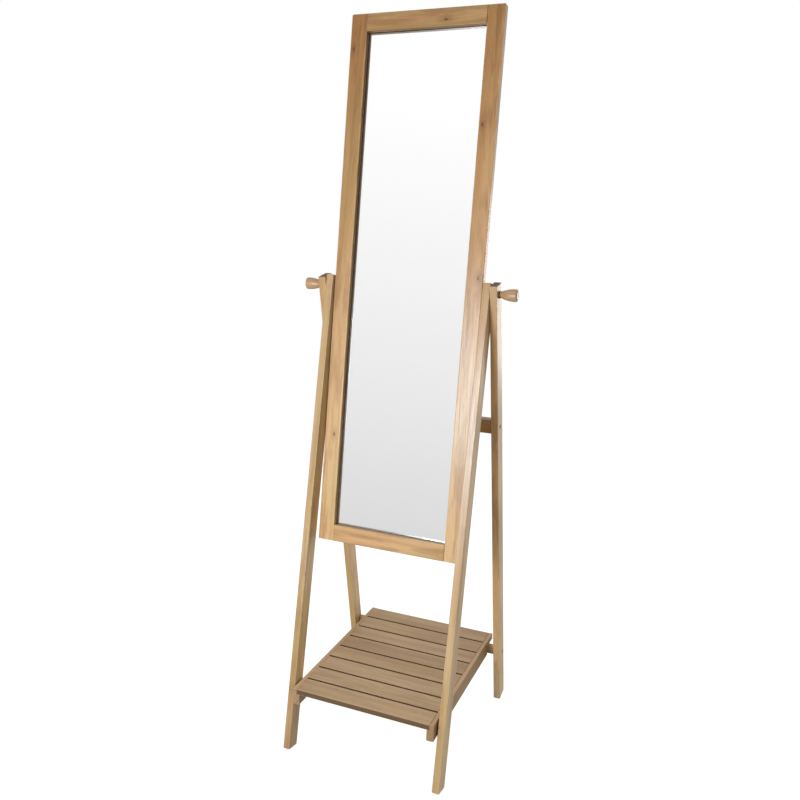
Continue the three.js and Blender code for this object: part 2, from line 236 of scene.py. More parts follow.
def wood(name, pale, mid, deep, pore, roughness=0.36, knots=0.5, gloss=0.42, patches=1.0, pin_knots=()):
    """Solid wood cut from a trunk whose pith is the z axis of the grain.

    Growth rings run round the pith, fibres and pores along it. knots is the strength of the rare ones at
    random, and pin_knots are places in the trunk. The mesh gives these attributes: grain (metres in the
    trunk), tint, heart (share of darker heartwood, on the frame partly painted shade darker towards the
    top), arris (1 on rounded edges) and end_grain_and_shade (up to 1 where a face is end grain or has
    painted shade).
    """
    n = new_material(name)
    grain = n.attribute("grain", "Vector")
    arris = n.attribute("arris")
    end_grain_and_shade = n.attribute("end_grain_and_shade")

    # Knots, each pushing the rings round it aside
    cells = n.add("TexVoronoi", {"Vector": n.scaled(grain, (1, 1, KNOT_ALONG)), "Scale": 6.5}, feature="F1")
    near = n.math("MULTIPLY", n.remap(cells.outputs["Distance"], 0.02, 0.16, 1.0, 0.0), knots)
    heart = n.math("MULTIPLY", n.remap(cells.outputs["Distance"], 0.010, 0.036, 1.0, 0.0), knots)
    for x, y, z in pin_knots:
        ends = {0: n.scaled(grain, (1, 1, PIN_KNOT_ALONG)), 1: (x, y, z * PIN_KNOT_ALONG)}
        away = n.add("VectorMath", ends, operation="DISTANCE").outputs["Value"]
        near = n.math("ADD", near, n.remap(away, 1.5 * MM, 13 * MM, 0.9, 0.0))
        heart = n.math("ADD", heart, n.remap(away, 0.9 * MM, 3.4 * MM, 0.9, 0.0))

    # Growth rings: the distance from the pith, made wavy, then a slow rise and a quick fall
    waviness = n.noise(n.scaled(grain, (14, 14, 1.2)), detail=3.0, roughness=0.5)
    ripple = n.noise(n.scaled(grain, (90, 90, 6)), detail=2.0)
    across = n.add("VectorMath", {0: grain, 1: (1, 1, 0)}, operation="MULTIPLY").outputs[0]
    radius = n.add("VectorMath", {0: across}, operation="LENGTH").outputs["Value"]
    radius = n.math("MULTIPLY_ADD", waviness, 0.034, radius)
    radius = n.math("MULTIPLY_ADD", ripple, 0.0022, radius)
    radius = n.math("MULTIPLY_ADD", near, 0.010, radius)
    ring = n.math("FRACT", n.math("DIVIDE", radius, RING_SPACING))
    late = n.math("MULTIPLY", n.remap(ring, 0.15, 0.80), n.remap(ring, 0.84, 1.0, 1.0, 0.0))
    # Good and bad years: groups of rings that are paler or deeper
    years = n.noise(n.add("CombineXYZ", {0: n.math("MULTIPLY", radius, 95.0)}).outputs[0], detail=3.0)

    # Fibres, pores, flecks and broad patches along the grain
    fibre = n.noise(n.scaled(grain, (700, 700, 9)), detail=4.0, roughness=0.6)
    streak = n.noise(n.scaled(grain, (130, 130, 2.6)), detail=3.0, roughness=0.55)
    band = n.noise(n.scaled(grain, (20, 20, 2.4)), detail=2.0)
    blush = n.noise(n.scaled(grain, (34, 34, 4.0), (3, 1, 7)), detail=2.0)
    moss = n.noise(n.scaled(grain, (27, 27, 3.1), (9, 4, 2)), detail=2.0)
    cloud = n.noise(n.scaled(grain, (60, 60, 8), (5, 8, 1)), detail=3.0, roughness=0.6)
    pores = n.remap(n.noise(n.scaled(grain, (1500, 1500, 45)), detail=1.0), 0.60, 0.72)
    pores = n.math("MULTIPLY", pores, n.remap(ring, 0.0, 0.45, 1.0, 0.3))

    colour = n.mix(n.remap(band, 0.36, 0.64), pale, mid)
    colour = n.mix(n.remap(blush, 0.50, 0.68, 0.0, 0.42 * patches), colour, BLUSH)
    colour = n.mix(n.remap(moss, 0.46, 0.64, 0.0, 0.55 * patches), colour, MOSS)
    colour = n.mix(n.remap(cloud, 0.46, 0.66, 0.0, 0.50 * patches), colour, deep)
    colour = n.mix(n.remap(years, 0.48, 0.72, 0.0, 0.36), colour, deep)
    colour = n.mix(n.math("MULTIPLY", late, 0.26), colour, deep)
    colour = n.mix(n.remap(streak, 0.50, 0.80, 0.0, 0.34), colour, deep)
    colour = n.mix(n.remap(streak, 0.20, 0.42, 0.30, 0.0), colour, pale)
    colour = n.mix(n.remap(fibre, 0.38, 0.78, 0.0, 0.22), colour, deep)
    colour = n.mix(n.math("MULTIPLY", pores, 0.40), colour, pore)
    colour = n.mix(n.math("MULTIPLY", near, 0.45, clamp=True), colour, deep)
    colour = n.mix(n.math("MULTIPLY", heart, 0.85, clamp=True), colour, pore)
    # Heartwood darkens the colour; on the frame members this is partly painted shade, darker towards the top.
    colour = n.mix(n.attribute("heart"), colour, HEARTWOOD_AND_SHADE, "MULTIPLY")
    # End grain and faces with painted shade are dark; arrises are rubbed a little paler
    colour = n.mix(n.math("MULTIPLY", end_grain_and_shade, 0.92), colour, pore)
    patch = n.remap(n.noise(n.scaled(grain, (120, 120, 30))), 0.3, 0.6, 0.05, 0.35)
    colour = n.mix(n.math("MULTIPLY", arris, patch), colour, pale)
    shade = n.add("HueSaturation", {"Color": colour, "Value": n.attribute("tint")}).outputs[0]

    rough = n.remap(fibre, 0.3, 0.7, roughness - 0.05, roughness + 0.07)
    rough = n.math("MULTIPLY_ADD", end_grain_and_shade, 0.35, rough)
    rough = n.math("MULTIPLY_ADD", pores, 0.15, rough)
    relief = n.math("MULTIPLY_ADD", pores, -0.7, fibre)
    relief = n.math("MULTIPLY_ADD", late, 0.4, relief)
    normal = n.bump(relief, 0.05 * MM, 0.6)
    return n.finish(base_color=shade, roughness=rough, normal=normal, specular_ior_level=gloss)


def metal(name, base, dark, roughness):
    """Plain metal with fine scratches and dull patches."""
    n = new_material(name)
    place = n.add("TexCoord").outputs["Object"]
    scratch = n.noise(place, scale=1200.0, detail=4.0, roughness=0.65)
    cloud = n.noise(place, scale=140.0, detail=3.0)
    colour = n.mix(n.remap(cloud, 0.35, 0.7), base, dark)
    rough = n.remap(scratch, 0.3, 0.7, roughness - 0.08, roughness + 0.12)
    return n.finish(base_color=colour, metallic=1.0, roughness=rough, normal=n.bump(scratch, 0.02 * MM, 0.5))


def silver_mirror():
    """The silvered back face of the glass."""
    n = new_material("silver")
    place = n.add("TexCoord").outputs["Object"]
    haze = n.noise(place, scale=9.0, detail=2.0)
    rough = n.remap(haze, 0.3, 0.7, 0.004, 0.012)
    return n.finish(base_color=srgb("f4f5f4"), metallic=1.0, roughness=rough)


def clear_glass():
    """Float glass in front of the silver."""
    n = new_material("float_glass")
    return n.finish(base_color=(1, 1, 1, 1), roughness=0.0, ior=1.5, transmission_weight=1.0)


def hardboard():
    """Pressed brown fibre board with a smooth face."""
    n = new_material("hardboard_brown")
    place = n.add("TexCoord").outputs["Object"]
    fibres = n.scaled(place, (1, 1, 0.45))
    fleck = n.add("TexVoronoi", {"Vector": fibres, "Scale": 900.0}).outputs["Color"]
    fleck = n.add("SeparateColor", {0: fleck}).outputs[0]
    felt = n.noise(place, scale=520.0, detail=4.0, roughness=0.6)
    cloud = n.noise(place, scale=6.0, detail=3.0)
    colour = n.mix(n.remap(felt, 0.3, 0.7, 0.2, 0.8), srgb("8a6643"), srgb("6f4e32"))
    colour = n.mix(n.remap(fleck, 0.80, 1.0, 0.0, 0.22), colour, srgb("a8845b"))
    colour = n.mix(n.remap(cloud, 0.35, 0.7, 0.0, 0.25), colour, srgb("5f4229"))
    rough = n.remap(felt, 0.3, 0.7, 0.55, 0.8)
    return n.finish(base_color=colour, roughness=rough, normal=n.bump(felt, 0.12 * MM, 0.7))


def beech():
    """Plain pale wood for the dowels."""
    n = new_material("beech_dowel")
    place = n.add("TexCoord").outputs["Object"]
    fleck = n.noise(n.scaled(place, (40, 600, 600)), detail=3.0)
    colour = n.mix(n.remap(fleck, 0.3, 0.7), srgb("dcc096"), srgb("c3a070"))
    return n.finish(base_color=colour, roughness=0.6, normal=n.bump(fleck, 0.05 * MM, 0.6))


def nylon():
    """Brown nylon with a faint mottle."""
    n = new_material("nylon_brown")
    place = n.add("TexCoord").outputs["Object"]
    mottle = n.noise(place, scale=420.0, detail=3.0)
    colour = n.mix(n.remap(mottle, 0.3, 0.7), srgb("6f5338"), srgb("5a4129"))
    return n.finish(base_color=colour, roughness=0.5, normal=n.bump(mottle, 0.03 * MM, 0.5))


BLUSH = srgb("cb9a72")  # the wood's pink patches
MOSS = srgb("b9a468")  # and its olive ones
# On the frame members this multiply is partly painted shade, darkening them towards the top.
HEARTWOOD_AND_SHADE = (0.52, 0.37, 0.21, 1.0)  # what heartwood keeps of each colour
FRAME_WOOD = wood(
    "frame_wood_lacquered",
    pale=srgb("e0c08f"),
    mid=srgb("cfaa74"),
    deep=srgb("9a7040"),
    pore=srgb("4f3824"),
    pin_knots=FRAME_KNOTS,
)
LEG_WOOD = wood(
    "leg_wood_lacquered",
    pale=srgb("d8bf95"),
    mid=srgb("c8aa7c"),
    deep=srgb("a07e52"),
    pore=srgb("4c3e2e"),
)
SHELF_WOOD = wood(
    "shelf_wood_matt",
    pale=srgb("bb9f7c"),
    mid=srgb("aa8c6a"),
    deep=srgb("896c4f"),
    pore=srgb("4a3620"),
    roughness=0.6,
    knots=0.35,
    gloss=0.22,
    patches=0.35,
)
KNOB_WOOD = wood(
    "knob_wood_turned",
    pale=srgb("d5b78f"),
    mid=srgb("c5a27a"),
    deep=srgb("9c7750"),
    pore=srgb("5f4a34"),
    knots=0.0,
)
STEEL = metal("zinc_steel", srgb("8f9193"), srgb("6a6c70"), 0.45)
DARK_STEEL = metal("dark_screw_steel", srgb("57524b"), srgb("38342f"), 0.42)
BRASS = metal("insert_brass", srgb("b8954f"), srgb("8f7038"), 0.35)
SILVER = silver_mirror()
GLASS = clear_glass()
HARDBOARD = hardboard()
NYLON = nylon()
BEECH = beech()


# ---------------------------------------------------------------- wooden pieces


def link(name, mesh, *materials):
    """A new object of the mesh, in the scene."""
    piece = bpy.data.objects.new(name, mesh)
    bpy.context.scene.collection.objects.link(piece)
    for material in materials:
        mesh.materials.append(material)
    return piece


def into_service(piece, node):
    """The piece stands for the CAD node: it moves with the node's body, and the node is hidden."""
    record = frame["record"]
    owner = next(body for body, nodes in record["behaviour"]["bodies"].items() if node in nodes)
    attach(piece, owner)
    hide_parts(node)


def solid_copy(node, to_local):
    """The CAD node's faces as a bmesh in the piece's own frame, with flat faces made whole."""
    bm = bmesh.new()
    bm.from_mesh(frame["nodes"][node].data)
    bm.transform(to_local)
    bmesh.ops.remove_doubles(bm, verts=bm.verts, dist=TOUCH)
    bmesh.ops.dissolve_limit(bm, angle_limit=math.radians(1), verts=bm.verts, edges=bm.edges)
    return bm


def round_edges(bm, chosen, radius, segments=3):
    """Rounds the chosen edges and marks the new faces in the layer called rounded."""
    mark = bm.faces.layers.int.get("rounded") or bm.faces.layers.int.new("rounded")
    edges = [e for e in bm.edges if len(e.link_faces) == 2 and chosen(e)]
    made = bmesh.ops.bevel(
        bm,
        geom=edges,
        offset=radius,
        offset_type="OFFSET",
        segments=segments,
        profile=0.5,
        affect="EDGES",
        clamp_overlap=True,
    )
    for face in made["faces"]:
        face[mark] = 1


def is_corner(edge):
    """Whether the edge is a sharp one that sticks out."""
    return edge.is_convex and edge.calc_face_angle(0) > math.radians(60)


def runs_along(edge, axis):
    """Whether the edge is parallel to the axis."""
    direction = edge.verts[1].co - edge.verts[0].co
    return abs(direction.normalized().dot(axis)) > 0.999


def to_mesh(name, bm):
    """The bmesh as a mesh; the bmesh is used up."""
    mesh = bpy.data.meshes.new(name)
    bm.to_mesh(mesh)
    bm.free()
    return mesh


def board_mesh(name, bm, to_world, along, trunk, twist, tint, heart=(0, 0), painted_shade=None):
    """The mesh with the attributes that the wood reads.

    along is the grain's direction in the piece's frame, trunk the place of the board in its tree and heart
    the share of heartwood at the low and high end, on the frame partly painted shade darker towards the
    top. painted_shade gives from a face's normal and centre how dark its painted shade is; without it only
    the end grain faces, which drink the finish, are dark.
    """
    mark = bm.faces.layers.int.get("rounded")
    turn = grain_turn(along, trunk, twist)
    grain = [turn @ v.co for v in bm.verts]
    arris = [1.0 if all(mark and f[mark] for f in v.link_faces) else 0.0 for v in bm.verts]
    bm.normal_update()

    def darkness(face):
        if mark and face[mark]:
            return 0.0
        if painted_shade:
            return painted_shade(face.normal, face.calc_center_median())
        return 1.0 if abs(face.normal.dot(along)) > 0.9 else 0.0

    end_grain_and_shade = [darkness(face) for face in bm.faces]
    places = [v.co.dot(along) for v in bm.verts]
    low, high = min(places), max(places)
    heartwood = [heart[0] + (heart[1] - heart[0]) * (place - low) / (high - low) for place in places]
    bm.transform(to_world)
    mesh = to_mesh(name, bm)
    coordinates = [c for point in grain for c in point]
    mesh.attributes.new("grain", "FLOAT_VECTOR", "POINT").data.foreach_set("vector", coordinates)
    mesh.attributes.new("arris", "FLOAT", "POINT").data.foreach_set("value", arris)
    mesh.attributes.new("end_grain_and_shade", "FLOAT", "FACE").data.foreach_set("value", end_grain_and_shade)
    mesh.attributes.new("heart", "FLOAT", "POINT").data.foreach_set("value", heartwood)
    mesh.attributes.new("tint", "FLOAT", "POINT").data.foreach_set("value", [tint] * len(mesh.vertices))
    mesh.polygons.foreach_set("use_smooth", [True] * len(mesh.polygons))
    return mesh


def smooth_by_weight(piece):
    """Keeps the flat faces flat and lets only the rounded edges shade smoothly."""
    modifier = piece.modifiers.new("weighted_normals", "WEIGHTED_NORMAL")
    modifier.keep_sharp = True
    modifier.weight = 100
    piece.data.set_sharp_from_angle(angle=math.radians(40))
    return piece


def board(node, material, to_local, along, trunk, twist, tint, rounding, heart=(0, 0), painted_shade=None):
    """A plain board: its long corners rounded, its cut ends just eased."""
    bm = solid_copy(node, to_local)
    places = [v.co.dot(along) for v in bm.verts]
    ends = (min(places), max(places))
    shortest = 0.15 * (ends[1] - ends[0])

    def is_long_corner(edge):
        return is_corner(edge) and runs_along(edge, along) and edge.calc_length() > shortest

    def at_end(edge):
        places = [v.co.dot(along) for v in edge.verts]
        return any(all(abs(place - end) < TOUCH for place in places) for end in ends)

    round_edges(bm, is_long_corner, rounding)
    round_edges(bm, at_end, SAWN_END_ROUNDING, 2)
    name = node + ".wood"
    mesh = board_mesh(name, bm, to_local.inverted(), along, trunk, twist, tint, heart, painted_shade)
    into_service(smooth_by_weight(link(name, mesh, material)), node)


def leaning(angle, centre=PIVOT):
    """From the row frame to a frame that is turned about the X axis through centre."""
    return Matrix.Rotation(-angle, 4, "X") @ Matrix.Translation(-centre)


def make_legs():
    """Four legs. The table holds each leg's place in its tree, its twist, its tint and its heartwood."""
    boards = {
        "front_left_leg": ((0.062, 0.021, 0.4), (0.012, -0.016), 0.95, (0.30, 0.35)),
        "front_right_leg": ((-0.048, 0.035, 2.1), (-0.009, 0.018), 0.98, (0.15, 0.66)),
        "rear_left_leg": ((0.055, -0.040, 3.7), (0.015, 0.010), 1.12, (0.20, 0.40)),
        "rear_right_leg": ((-0.066, -0.018, 5.2), (-0.013, -0.012), 1.05, (0.15, 0.68)),
    }
    for node, (trunk, twist, tint, heart) in boards.items():
        lean = -LEG_LEAN if node.startswith("front") else LEG_LEAN
        board(node, LEG_WOOD, leaning(lean), Z, trunk, twist, tint, LEG_ROUNDING, heart)


def make_bars():
    """The two crossbars: the upper one leans with the rear legs, the lower one stands upright."""
    upper = leaning(LEG_LEAN, sum(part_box("upper_crossbar"), Vector()) / 2)
    heart = (0.5, 0.6)
    trunk, twist, tint = (0.05, 0.03, 7.0), (0.01, 0.012), 0.95
    board("upper_crossbar", LEG_WOOD, upper, X, trunk, twist, tint, LEG_ROUNDING, heart)
    # The lower crossbar's low tint is painted shade, for the shade it sits in under the shelf.
    trunk, twist, tint = (0.06, -0.05, 8.3), (0.01, -0.01), 0.66
    board("lower_crossbar", LEG_WOOD, STRAIGHT, X, trunk, twist, tint, SLAT_ROUNDING, heart)


def slat_painted_shade(normal, centre):
    """The slats' narrow faces are painted dark as shade, so that the gaps read as dark lines; the shelf's
    front is less so.
    """
    if normal.y < -0.7 and centre.y < SHELF_FRONT + MM:
        return 0.85
    return 1.0 if abs(normal.y) > 0.7 or abs(normal.x) > 0.7 else 0.0


def rail_painted_shade(normal, centre):
    """The rails' sides and ends are painted a little darker than their tops, as painted shade."""
    return 0.3 if abs(normal.x) > 0.7 or abs(normal.y) > 0.7 else 0.0


def make_shelf():
    """Two rails and the slats that lie in their rebates, each slat from another place in its tree."""
    for side, sign in SIDES.items():
        node = f"shelf_rail_{side}"
        trunk = (0.045 * sign, 0.02, 9.0 + sign)
        twist = (0.01, 0.014 * sign)
        tint, heart = 1.12, (0.1, 0.3)
        board(node, SHELF_WOOD, STRAIGHT, Y, trunk, twist, tint, RAIL_ROUNDING, heart, rail_painted_shade)
    for i, node in enumerate(SLATS):
        trunk = (0.04 + 0.011 * (i * 5 % 8), 0.02 * math.cos(2.4 * i), 12.0 + 1.7 * i)
        twist = (0.012 * math.sin(1.9 * i), 0.010 * math.cos(1.3 * i))
        tint = 0.88 + 0.04 * math.sin(4.1 * i + 0.6)
        board(node, SHELF_WOOD, STRAIGHT, X, trunk, twist, tint, SLAT_ROUNDING, painted_shade=slat_painted_shade)


# ---------------------------------------------------------------- mirror frame


def join_rings(bm, rings):
    """Faces from each ring of vertices to the next, all of them facing out."""
    for one, two in zip(rings, rings[1:]):
        for i in range(len(one)):
            k = (i + 1) % len(one)
            bm.faces.new((one[i], one[k], two[k], two[i]))
    bmesh.ops.recalc_face_normals(bm, faces=bm.faces)


def opening_cutter(half_width, half_height, front, radius, segments=5):
    """The waste that a rounding bit takes from the opening's front edges, mitred at its corners."""
    slack = 0.5 * MM  # how far the cutter stands out of the wood
    profile = [(-slack, front - slack), (-slack, front + radius)]
    for i in range(segments + 1):
        angle = i / segments * math.pi / 2
        profile.append((radius - radius * math.cos(angle), front + radius - radius * math.sin(angle)))
    profile.append((radius, front - slack))
    bm = bmesh.new()
    rings = []
    for sx, sz in ((1, 1), (-1, 1), (-1, -1), (1, -1)):
        places = [(sx * (half_width + out), y, sz * (half_height + out)) for out, y in profile]
        rings.append([bm.verts.new(place) for place in places])
    join_rings(bm, rings + rings[:1])
    return to_mesh("opening_cutter", bm)


def carved(bm, cutter):
    """bm with the cutter taken out, as a new bmesh."""
    blank = link("blank", to_mesh("blank", bm))
    tool = link("tool", cutter.copy())
    modifier = blank.modifiers.new("carve", "BOOLEAN")
    modifier.operation = "DIFFERENCE"
    modifier.solver = "EXACT"
    modifier.object = tool
    done = bpy.data.meshes.new_from_object(blank.evaluated_get(bpy.context.evaluated_depsgraph_get()))
    bpy.data.objects.remove(blank)
    bpy.data.objects.remove(tool)
    result = bmesh.new()
    result.from_mesh(done)
    return result


def make_mirror_frame():
    """Two stiles and two rails, rounded outside, with a small round along the opening's front edges."""
    to_local = leaning(-MIRROR_TILT)
    stile = solid_copy("right_stile", to_local)
    outside = max(v.co.x for v in stile.verts)
    top = max(v.co.z for v in stile.verts)
    front = min(v.co.y for v in stile.verts)
    stile.free()
    half_width, half_height = outside - FRAME_MEMBER, top - FRAME_MEMBER
    cutter = opening_cutter(half_width, half_height, front, OPENING_ROUNDING)

    def on_outline(edge):
        """Whether the edge is on the frame's outside, and not one where a rail meets a stile."""
        at_side = all(abs(abs(v.co.x) - outside) < TOUCH for v in edge.verts)
        at_end = all(abs(abs(v.co.z) - top) < TOUCH for v in edge.verts)
        joint = at_end and not at_side and runs_along(edge, Y)
        long = edge.calc_length() > SHORTEST_ROUNDED_EDGE
        return (at_side or at_end) and not joint and is_corner(edge) and long

    def painted_shade(normal, centre):
        """The opening's side walls, down to the glass, are painted dark as shade."""
        return 0.42 if abs(normal.x) > 0.7 and abs(centre.x) < half_width + MM else 0.0

    for node, (along, trunk, twist, heart) in FRAME_MEMBERS.items():
        bm = solid_copy(node, to_local)
        round_edges(bm, on_outline, FRAME_ROUNDING, 4)
        bm = carved(bm, cutter)
        name = node + ".wood"
        mesh = board_mesh(name, bm, to_local.inverted(), along, trunk, twist, FRAME_TINT, heart, painted_shade)
        into_service(smooth_by_weight(link(name, mesh, FRAME_WOOD)), node)


def make_glass():
    """The glass, with clear front and edges and a silvered back, its edges ground."""
    to_local = leaning(-MIRROR_TILT)
    bm = solid_copy("mirror_glass", to_local)
    round_edges(bm, is_corner, GLASS_EASE, 1)
    back = max(v.co.y for v in bm.verts)
    for face in bm.faces:
        face.material_index = 1 if all(abs(v.co.y - back) < TOUCH for v in face.verts) else 0
    bm.transform(to_local.inverted())
    name = "mirror_glass.pane"
    into_service(link(name, to_mesh(name, bm), GLASS, SILVER), "mirror_glass")


# ---------------------------------------------------------------- turned and threaded pieces


def lathe(profile, segments=64):
    """A piece turned about the X axis. profile is a closed outline of (x, radius) and may touch the axis."""
    bm = bmesh.new()
    angles = [2 * math.pi * i / segments for i in range(segments)]
    rings = []
    for x, radius in profile:
        if radius == 0:
            rings.append([bm.verts.new((x, 0, 0))] * segments)
        else:
            rings.append([bm.verts.new((x, radius * math.cos(a), radius * math.sin(a))) for a in angles])
    for one, two in zip(rings, rings[1:] + rings[:1]):
        for i in range(segments):
            k = (i + 1) % segments
            corners = []
            for vert in (one[i], one[k], two[k], two[i]):
                if vert not in corners:
                    corners.append(vert)
            if len(corners) > 2:
                bm.faces.new(corners)
    bmesh.ops.recalc_face_normals(bm, faces=bm.faces)
    return bm


def arc(centre, radius, start, end, steps=6):
    """Points of (x, radius) on an arc, its angles in degrees from the X axis."""
    angles = [math.radians(start + (end - start) * i / steps) for i in range(steps + 1)]
    return [(centre[0] + radius * math.cos(a), centre[1] + radius * math.sin(a)) for a in angles]


def bezier(a, b, c, d, steps=16):
    """Points on a cubic curve from a to d."""
    points = [Vector(p) for p in (a, b, c, d)]
    found = []
    for i in range(steps + 1):
        t = i / steps
        weights = ((1 - t) ** 3, 3 * t * (1 - t) ** 2, 3 * t * t * (1 - t), t**3)
        found.append(tuple(sum((w * p for w, p in zip(weights, points)), Vector((0, 0)))))
    return found


def shaded(mesh, angle):
    """The mesh smooth but for edges sharper than the angle, in degrees."""
    mesh.polygons.foreach_set("use_smooth", [True] * len(mesh.polygons))
    mesh.set_sharp_from_angle(angle=math.radians(angle))
    return mesh


def unstained(normal, centre):
    """The knobs' ends are as pale as their sides."""
    return 0.0


def make_knob(side, sign):
    """A turned knob: it flares from a slim neck to a low chamfer at its faintly hollowed end."""
    low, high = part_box(f"{side}_knob")
    length = high.x - low.x
    start = low.x if sign > 0 else high.x
    grip = (high.z - low.z) / 2
    neck = KNOB_NECK_RADIUS
    flare = ((1.2 * MM, neck), (8 * MM, 9.0 * MM), (14 * MM, 12.5 * MM), (KNOB_FLARE, grip))
    profile = [(0, STUD_HOLE_RADIUS), (0, neck - 0.4 * MM), (0.4 * MM, neck)]
    profile += bezier(*flare)
    profile += [(length - 3.2 * MM, grip)]
    profile += arc((length - 3.0 * MM, grip - 1.0 * MM), 1.0 * MM, 80, 35, 4)
    profile += arc((length - 0.8 * MM, 8.2 * MM), 0.8 * MM, 60, 0, 4)
    profile += [(length - 0.1 * MM, 6.0 * MM), (length - 0.5 * MM, 3.0 * MM), (length - 0.7 * MM, 0)]
    profile += [(KNOB_SOCKET, 0), (KNOB_SOCKET, STUD_HOLE_RADIUS)]
    bm = lathe(profile)
    name = f"{side}_knob.turned"
    place = Matrix.Translation((start, 0, PIVOT.z)) @ Matrix.Diagonal((sign, 1, 1, 1))
    trunk, twist = (0.09, 0.04, 50.0 + 3 * sign), (0.05, 0.03)
    tint, heart = 0.84, (0.1, 0.1)
    mesh = board_mesh(name, bm, place, X, trunk, twist, tint, heart, unstained)
    if sign < 0:
        mesh.flip_normals()
    into_service(link(name, shaded(mesh, 32), KNOB_WOOD), f"{side}_knob")


def make_ring(node, material):
    """A flat washer or spacer with eased edges, from its CAD node's box."""
    low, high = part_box(node)
    half = (high.x - low.x) / 2
    outer = (high.z - low.z) / 2
    inner = STUD_HOLE_RADIUS if "pivot" in node else SCREW_HOLE_RADIUS
    profile = [(RING_EASE - half, inner), (-half, inner + RING_EASE)]
    profile += [(-half, outer - RING_EASE), (RING_EASE - half, outer)]
    profile += [(-x, radius) for x, radius in reversed(profile)]
    bm = lathe(profile)
    bm.transform(Matrix.Translation((low + high) / 2))
    name = node + ".ring"
    into_service(link(name, shaded(to_mesh(name, bm), 50), material), node)


def make_stud(side):
    """The M8 stud: its thread is a real helix, with tapered ends."""
    node = f"{side}_pivot_stud"
    low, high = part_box(node)
    outer = (high.z - low.z) / 2
    steps, rows_per_turn = 32, 8
    rows = round((high.x - low.x) / THREAD_PITCH * rows_per_turn)
    bm = bmesh.new()
    rings = []
    for row in range(rows + 1):
        x = low.x + (high.x - low.x) * row / rows
        turns_from_end = min(row, rows - row) / rows_per_turn
        taper = max(0.0, 0.9 - turns_from_end) * 0.9 * MM
        ring = []
        for i in range(steps):
            angle = 2 * math.pi * i / steps
            phase = ((x - low.x) / THREAD_PITCH - i / steps) % 1.0
            groove = THREAD_DEPTH * abs(2 * phase - 1) * 0.94
            radius = outer - groove - taper
            ring.append(bm.verts.new((x, radius * math.cos(angle), PIVOT.z + radius * math.sin(angle))))
        rings.append(ring)
    bm.faces.new(rings[0])
    bm.faces.new(list(reversed(rings[-1])))
    join_rings(bm, rings)
    name = node + ".threaded"
    into_service(link(name, shaded(to_mesh(name, bm), 60), STEEL), node)


def cross_recess(width, reach, depth):
    """A cross-shaped driver recess, tapered, as a cutter that enters the head along +X.

    width is half an arm's width and reach half the length of two arms, at the mouth.
    """
    bm = bmesh.new()
    rings = []
    for x, w, r in ((-0.2 * MM, width, reach), (depth, 0.6 * width, 0.35 * reach)):
        quarter = [(r, w), (w, w), (w, r)]
        ring = []
        for _ in range(4):
            ring += [bm.verts.new((x, y, z)) for y, z in quarter]
            quarter = [(-z, y) for y, z in quarter]
        rings.append(ring)
    bm.faces.new(rings[0])
    bm.faces.new(rings[1])
    join_rings(bm, rings)
    return to_mesh("cross_recess", bm)


def make_screw(node, into):
    """A countersunk wood screw with a cross recess; into is the direction that it was driven in."""
    low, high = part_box(node)
    length = abs((high - low).dot(into))
    head = (low + high) / 2 - into * length / 2
    shank_end = length * 0.34
    profile = [*SCREW_HEAD, (shank_end, SCREW_SHANK_RADIUS)]
    x = shank_end
    while x < length - SCREW_TIP:
        profile += [(x + 0.5 * MM, SCREW_CREST_RADIUS), (x + 1.3 * MM, SCREW_ROOT_RADIUS)]
        x += SCREW_PITCH
    profile += [(length, 0)]
    recess = cross_recess(width=0.55 * MM, reach=2.6 * MM, depth=2.2 * MM)
    bm = carved(lathe(profile, 28), recess)
    turn = X.rotation_difference(into).to_matrix().to_4x4() @ Matrix.Rotation(0.6, 4, "X")
    bm.transform(Matrix.Translation(head) @ turn)
    name = node + ".screw"
    into_service(link(name, shaded(to_mesh(name, bm), 30), DARK_STEEL), node)


def make_hardware():
    """Both sides' knobs, studs, rings and screws."""
    for side, sign in SIDES.items():
        make_knob(side, sign)
        make_stud(side)
        make_ring(f"{side}_pivot_washer", NYLON)
        make_ring(f"{side}_pivot_spacer", NYLON)
        make_ring(f"shelf_spacer_{side}", NYLON)
        make_screw(f"upper_crossbar_screw_{side}", -sign * X)
        make_screw(f"lower_crossbar_screw_{side}", -sign * X)
        make_screw(f"shelf_front_screw_{side}", sign * X)
        make_screw(f"shelf_rear_screw_{side}", -Y)


def paint_cad_nodes():
    """CAD pieces whose shape is right as it is get a finish."""
    finishes = {"threaded_insert": BRASS, "glazing_point": STEEL, "dowel": BEECH, "back_panel": HARDBOARD}
    for name, node in frame["nodes"].items():
        for key, material in finishes.items():
            if key in name:
                node.data.materials.clear()
                node.data.materials.append(material)


# ---------------------------------------------------------------- stage, light and camera

# The world's brightness by the height of the direction, from straight down to straight up
WORLD_LEVELS = (
    (-1.0, 1.0),
    (-0.65, 0.44),
    (-0.35, 0.30),
    (-0.16, 0.76),
    (0.0, 0.88),
    (0.42, 1.14),
    (0.75, 0.74),
    (1.0, 0.42),
)
SIDE_SHARE = 0.7  # of the brightness in front that is left at the sides
BACK_LEVELS = (0.55, 1.45)  # behind the object: well below the horizon, and from the horizon up
FLOOR_GREY = srgb("8a8a8a")  # of the light that falls on the floor, what comes back
FLOOR_GLOW = 0.92


def set_dressing(name, bm, material):
    """A piece of the set that only the camera sees: it doesn't light the object or show in the mirror."""
    piece = link(name, to_mesh(name, bm), material)
    piece.visible_diffuse = False
    piece.visible_glossy = False
    piece.visible_transmission = False
    piece.visible_shadow = False


